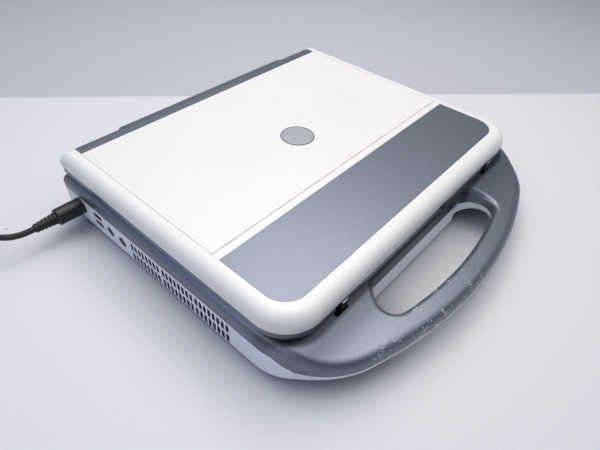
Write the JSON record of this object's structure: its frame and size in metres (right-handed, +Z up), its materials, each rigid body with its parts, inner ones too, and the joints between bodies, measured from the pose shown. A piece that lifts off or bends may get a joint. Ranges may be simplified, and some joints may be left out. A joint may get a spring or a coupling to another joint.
{
  "type": "laptop computer with carrying handle",
  "caption": "Closed clamshell laptop computer: white lid with grey inlaid panels, slate base running into a carrying handle, side vents and sockets, power lead and adapter.",
  "frame": {"origin": "centre of the closed computer's footprint, on the surface that the feet stand on, without the lead and adapter", "axes": "+X to the user's right, +Y from the handle to the hinge, +Z up"},
  "size_m": [0.577, 0.476, 0.0677],
  "materials": {
    "lid_white": "semi-gloss",
    "case_white": "satin",
    "slate_paint": "satin metallic",
    "silver_paint": "satin",
    "dark_plastic": "matte",
    "black_gloss": "semi-gloss",
    "black_rubber": "satin",
    "steel": "satin",
    "dark_steel": "satin",
    "aluminium": "satin",
    "circuit_board": "satin",
    "key_plastic": "satin",
    "pad_plastic": "satin",
    "light_lens": "clear",
    "screen": "gloss"
  },
  "bodies": {
    "base": {"base_lower_case": "case_white", "base_upper_case": "slate_paint", "battery_cover": "case_white", "battery_pack": "dark_plastic", "hard_drive": "aluminium", "rubber_feet": "black_rubber", "case_screws": "steel", "main_board": "circuit_board", "board_screws": "steel", "processor": "dark_plastic", "heat_sink": "aluminium", "fan_housing": "dark_plastic", "memory_module": "circuit_board", "clock_battery": "steel", "speaker_left": "dark_plastic", "speaker_right": "dark_plastic", "dc_jack": "dark_plastic", "usb_sockets": "steel", "round_socket_front": "dark_plastic", "round_socket_rear": "dark_plastic", "hinge_bracket_right": "dark_steel", "hinge_bracket_left": "dark_steel", "latch_strikes": "steel", "status_lights": "light_lens", "keyboard_plate": "dark_steel", "touchpad": "pad_plastic", "lead_plug": "black_gloss", "lead_strain_relief": "black_rubber", "lead_cord": "black_rubber", "lead_coil": "black_rubber", "adapter_strain_relief": "black_rubber", "lead_tail": "black_rubber", "adapter_inlet": "dark_plastic", "power_adapter": "black_gloss"},
    "lid": {"lid_frame": "lid_white", "lid_centre_panel": "lid_white", "lid_front_panel": "slate_paint", "lid_rear_strip": "slate_paint", "badge_disc": "silver_paint", "lid_bezel": "slate_paint", "display_panel": "screen", "hinge_arm_right": "dark_steel", "hinge_arm_left": "dark_steel", "lid_screws": "steel", "lid_bumpers": "black_rubber"},
    "latch": {"latch_bar": "steel", "latch_hook_left": "dark_steel", "latch_hook_right": "dark_steel", "latch_knob": "dark_plastic"},
    "fan_rotor": {"fan_rotor": "dark_plastic"},
    "keys_modifier_row": {"keys_modifier_row": "key_plastic"},
    "key_space_bar": {"key_space_bar": "key_plastic"},
    "keys_lower_row": {"keys_lower_row": "key_plastic"},
    "keys_home_row": {"keys_home_row": "key_plastic"},
    "keys_upper_row": {"keys_upper_row": "key_plastic"},
    "keys_number_row": {"keys_number_row": "key_plastic"},
    "keys_function_row": {"keys_function_row": "key_plastic"},
    "touchpad_button_left": {"touchpad_button_left": "pad_plastic"},
    "touchpad_button_right": {"touchpad_button_right": "pad_plastic"},
    "power_button": {"power_button": "silver_paint"}
  },
  "joints": [
    {"name": "lid_hinge", "type": "hinge", "parent": "base", "child": "lid", "pos_m": [0, 0.163, 0.057], "axis": [-1, 0, 0], "range_deg": [0, 130]},
    {"name": "latch_slide", "type": "slide", "parent": "lid", "child": "latch", "axis": [-1, 0, 0], "range_m": [0, 0.0045]},
    {"name": "fan_spin", "type": "hinge", "parent": "base", "child": "fan_rotor", "pos_m": [-0.142, -0.0175, 0.02], "axis": [0, 0, 1], "continuous": true},
    {"name": "keys_modifier_row_press", "type": "slide", "parent": "base", "child": "keys_modifier_row", "axis": [0, 0, 1], "range_m": [-0.0022, 0], "stiffness_N_per_m": 1750, "springref_m": 0.0008},
    {"name": "key_space_bar_press", "type": "slide", "parent": "base", "child": "key_space_bar", "axis": [0, 0, 1], "range_m": [-0.0022, 0], "stiffness_N_per_m": 250, "springref_m": 0.0008},
    {"name": "keys_lower_row_press", "type": "slide", "parent": "base", "child": "keys_lower_row", "axis": [0, 0, 1], "range_m": [-0.0022, 0], "stiffness_N_per_m": 3000, "springref_m": 0.0008},
    {"name": "keys_home_row_press", "type": "slide", "parent": "base", "child": "keys_home_row", "axis": [0, 0, 1], "range_m": [-0.0022, 0], "stiffness_N_per_m": 3250, "springref_m": 0.0008},
    {"name": "keys_upper_row_press", "type": "slide", "parent": "base", "child": "keys_upper_row", "axis": [0, 0, 1], "range_m": [-0.0022, 0], "stiffness_N_per_m": 3500, "springref_m": 0.0008},
    {"name": "keys_number_row_press", "type": "slide", "parent": "base", "child": "keys_number_row", "axis": [0, 0, 1], "range_m": [-0.0022, 0], "stiffness_N_per_m": 3500, "springref_m": 0.0008},
    {"name": "keys_function_row_press", "type": "slide", "parent": "base", "child": "keys_function_row", "axis": [0, 0, 1], "range_m": [-0.0022, 0], "stiffness_N_per_m": 3750, "springref_m": 0.0008},
    {"name": "touchpad_button_left_press", "type": "slide", "parent": "base", "child": "touchpad_button_left", "axis": [0, 0, 1], "range_m": [-0.0007, 0], "stiffness_N_per_m": 1200, "springref_m": 0.0004},
    {"name": "touchpad_button_right_press", "type": "slide", "parent": "base", "child": "touchpad_button_right", "axis": [0, 0, 1], "range_m": [-0.0007, 0], "stiffness_N_per_m": 1200, "springref_m": 0.0004},
    {"name": "power_button_press", "type": "slide", "parent": "base", "child": "power_button", "axis": [0, 0, 1], "range_m": [-0.0007, 0], "stiffness_N_per_m": 1200, "springref_m": 0.0004}
  ]
}
